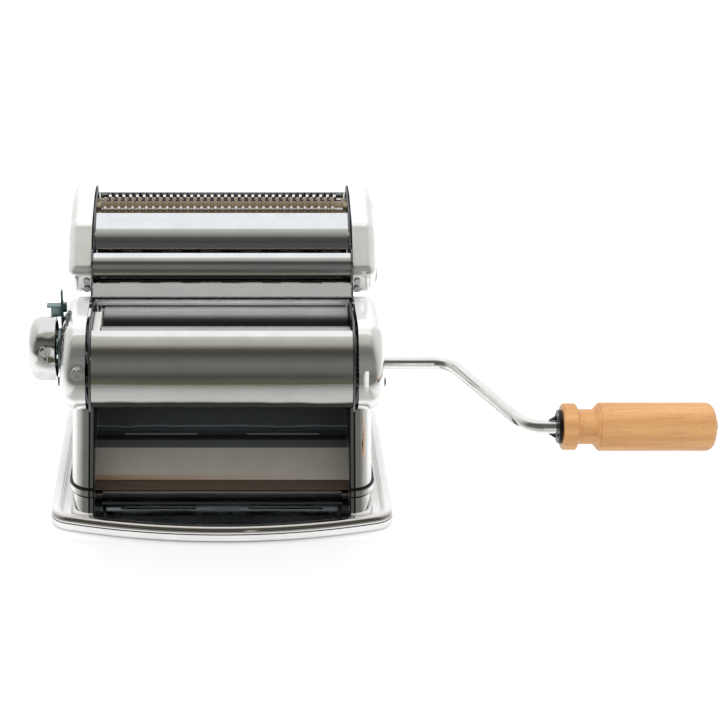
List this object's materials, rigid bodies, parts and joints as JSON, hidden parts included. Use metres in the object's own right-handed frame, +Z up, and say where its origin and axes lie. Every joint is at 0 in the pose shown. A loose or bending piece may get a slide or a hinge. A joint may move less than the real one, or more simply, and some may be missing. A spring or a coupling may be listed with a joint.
{
  "type": "pasta machine",
  "caption": "Hand-cranked pasta machine with smooth rollers, a thickness knob, a cutter head for two strand widths and a wooden-handled crank.",
  "frame": {"origin": "on the table under the middle of the base plate", "axes": "+X along the rollers towards the crank, +Y away from the machine's front towards the cutter head, +Z up"},
  "size_m": [0.404, 0.2099, 0.1576],
  "materials": {
    "bright_steel": "polished sheet, mirror-like with fine streaks along its length",
    "satin_steel": "plain rolled sheet, satin",
    "screw_steel": "bright zinc plated",
    "roller_aluminium": "smooth anodised, satin",
    "cutter_steel": "turned and plated, slightly warm",
    "gear_steel": "cut teeth, lightly oiled",
    "bush_brass": "turned",
    "zinc": "zinc plated with a faint cool tint",
    "knob_chrome": "polished pressed shell",
    "crank_chrome": "polished plating",
    "guard_plastic": "moulded, slightly waxy",
    "foot_rubber": "moulded",
    "grip_wood": "turned beech with clear satin varnish"
  },
  "bodies": {
    "frame": {"base_plate": "bright_steel", "rubber_feet": "foot_rubber", "side_plate_right": "satin_steel", "side_plate_left": "satin_steel", "tie_rods": "satin_steel", "tie_rod_nuts": "satin_steel", "leg_panel_right": "bright_steel", "leg_panel_left": "bright_steel", "casing_posts": "satin_steel", "casing_screws": "screw_steel", "casing_right": "bright_steel", "casing_left": "bright_steel", "front_cover": "bright_steel", "rear_cover": "bright_steel", "chute_plate": "satin_steel", "hook_pins": "satin_steel", "shaft_bushes": "bush_brass", "scraper_front": "satin_steel", "scraper_rear": "satin_steel", "dough_guard": "guard_plastic", "regulator_bracket": "zinc", "bracket_fittings": "zinc"},
    "drive_shaft": {"drive_pinion": "gear_steel"},
    "crank": {"crank_rod": "crank_chrome", "grip_washer": "crank_chrome", "grip_rivet": "crank_chrome"},
    "grip": {"wooden_grip": "grip_wood"},
    "fixed_roller": {"fixed_roller": "roller_aluminium", "fixed_roller_gear": "gear_steel", "drive_gear": "gear_steel"},
    "carriage": {"carriage_right": "satin_steel", "carriage_left": "satin_steel", "carriage_link": "satin_steel"},
    "adjustable_roller": {"adjustable_roller": "roller_aluminium", "adjustable_roller_gear": "gear_steel"},
    "regulator": {"regulator_cam": "zinc", "knob_screw": "screw_steel", "knob_spring": "screw_steel"},
    "knob": {"regulator_knob": "knob_chrome"},
    "cutter_head": {"head_plate_right": "satin_steel", "head_plate_left": "satin_steel", "head_tie_rods": "satin_steel", "head_lower_cover": "bright_steel", "head_middle_cover": "bright_steel", "head_front_plate": "satin_steel", "head_baffle": "satin_steel", "head_back_cover": "bright_steel", "head_casing_right": "bright_steel", "head_casing_left": "bright_steel", "head_screws": "screw_steel", "cutter_bushes": "bush_brass", "cutter_combs": "satin_steel"},
    "fine_front": {"fine_cutter_front": "cutter_steel", "fine_gear_front": "gear_steel"},
    "fine_back": {"fine_cutter_back": "cutter_steel", "fine_gear_back": "gear_steel"},
    "wide_front": {"wide_cutter_front": "cutter_steel", "wide_gear_front": "gear_steel"},
    "wide_back": {"wide_cutter_back": "cutter_steel", "wide_gear_back": "gear_steel"}
  },
  "joints": [
    {"name": "crank_turn", "type": "hinge", "parent": "frame", "child": "drive_shaft", "pos_m": [0.09, 0.002, 0.07427], "axis": [1, 0, 0], "continuous": true},
    {"name": "crank_pull", "type": "slide", "parent": "drive_shaft", "child": "crank", "axis": [1, 0, 0], "range_m": [0, 0.02]},
    {"name": "grip_spin", "type": "hinge", "parent": "crank", "child": "grip", "pos_m": [0.24, -0.0848, 0.07427], "axis": [1, 0, 0], "continuous": true},
    {"name": "fixed_roller_turn", "type": "hinge", "parent": "frame", "child": "fixed_roller", "pos_m": [0, 0.0146, 0.092], "axis": [1, 0, 0], "continuous": true},
    {"name": "knob_turn", "type": "hinge", "parent": "frame", "child": "regulator", "pos_m": [-0.09, -0.0146, 0.092], "axis": [1, 0, 0], "range_deg": [0, 300]},
    {"name": "gap_slide", "type": "slide", "parent": "frame", "child": "carriage", "axis": [0, 1, 0], "range_m": [0, 0.002]},
    {"name": "adjustable_roller_turn", "type": "hinge", "parent": "carriage", "child": "adjustable_roller", "pos_m": [0, -0.0156, 0.092], "axis": [1, 0, 0], "continuous": true},
    {"name": "knob_pull", "type": "slide", "parent": "regulator", "child": "knob", "axis": [-1, 0, 0], "range_m": [0, 0.004], "stiffness_N_per_m": 600, "deforming": ["knob_spring"]},
    {"name": "head_lift", "type": "slide", "parent": "frame", "child": "cutter_head", "axis": [0, 0, 1], "range_m": [0, 0.06]},
    {"name": "fine_cutter_turn", "type": "hinge", "parent": "cutter_head", "child": "fine_front", "pos_m": [0, 0.082, 0.1454], "axis": [1, 0, 0], "continuous": true},
    {"name": "fine_back_turn", "type": "hinge", "parent": "cutter_head", "child": "fine_back", "pos_m": [0, 0.09824, 0.1425], "axis": [1, 0, 0], "continuous": true},
    {"name": "wide_cutter_turn", "type": "hinge", "parent": "cutter_head", "child": "wide_front", "pos_m": [0, 0.0365, 0.12], "axis": [1, 0, 0], "continuous": true},
    {"name": "wide_back_turn", "type": "hinge", "parent": "cutter_head", "child": "wide_back", "pos_m": [0, 0.053, 0.12], "axis": [1, 0, 0], "continuous": true}
  ],
  "couplings": [
    {"joint": "fixed_roller_turn", "follows": "crank_turn", "ratio": -0.45},
    {"joint": "adjustable_roller_turn", "follows": "crank_turn", "ratio": 0.45},
    {"joint": "knob_turn", "follows": "gap_slide", "rad_per_m": 2618},
    {"joint": "fine_back_turn", "follows": "fine_cutter_turn", "ratio": -1},
    {"joint": "wide_back_turn", "follows": "wide_cutter_turn", "ratio": -1}
  ]
}
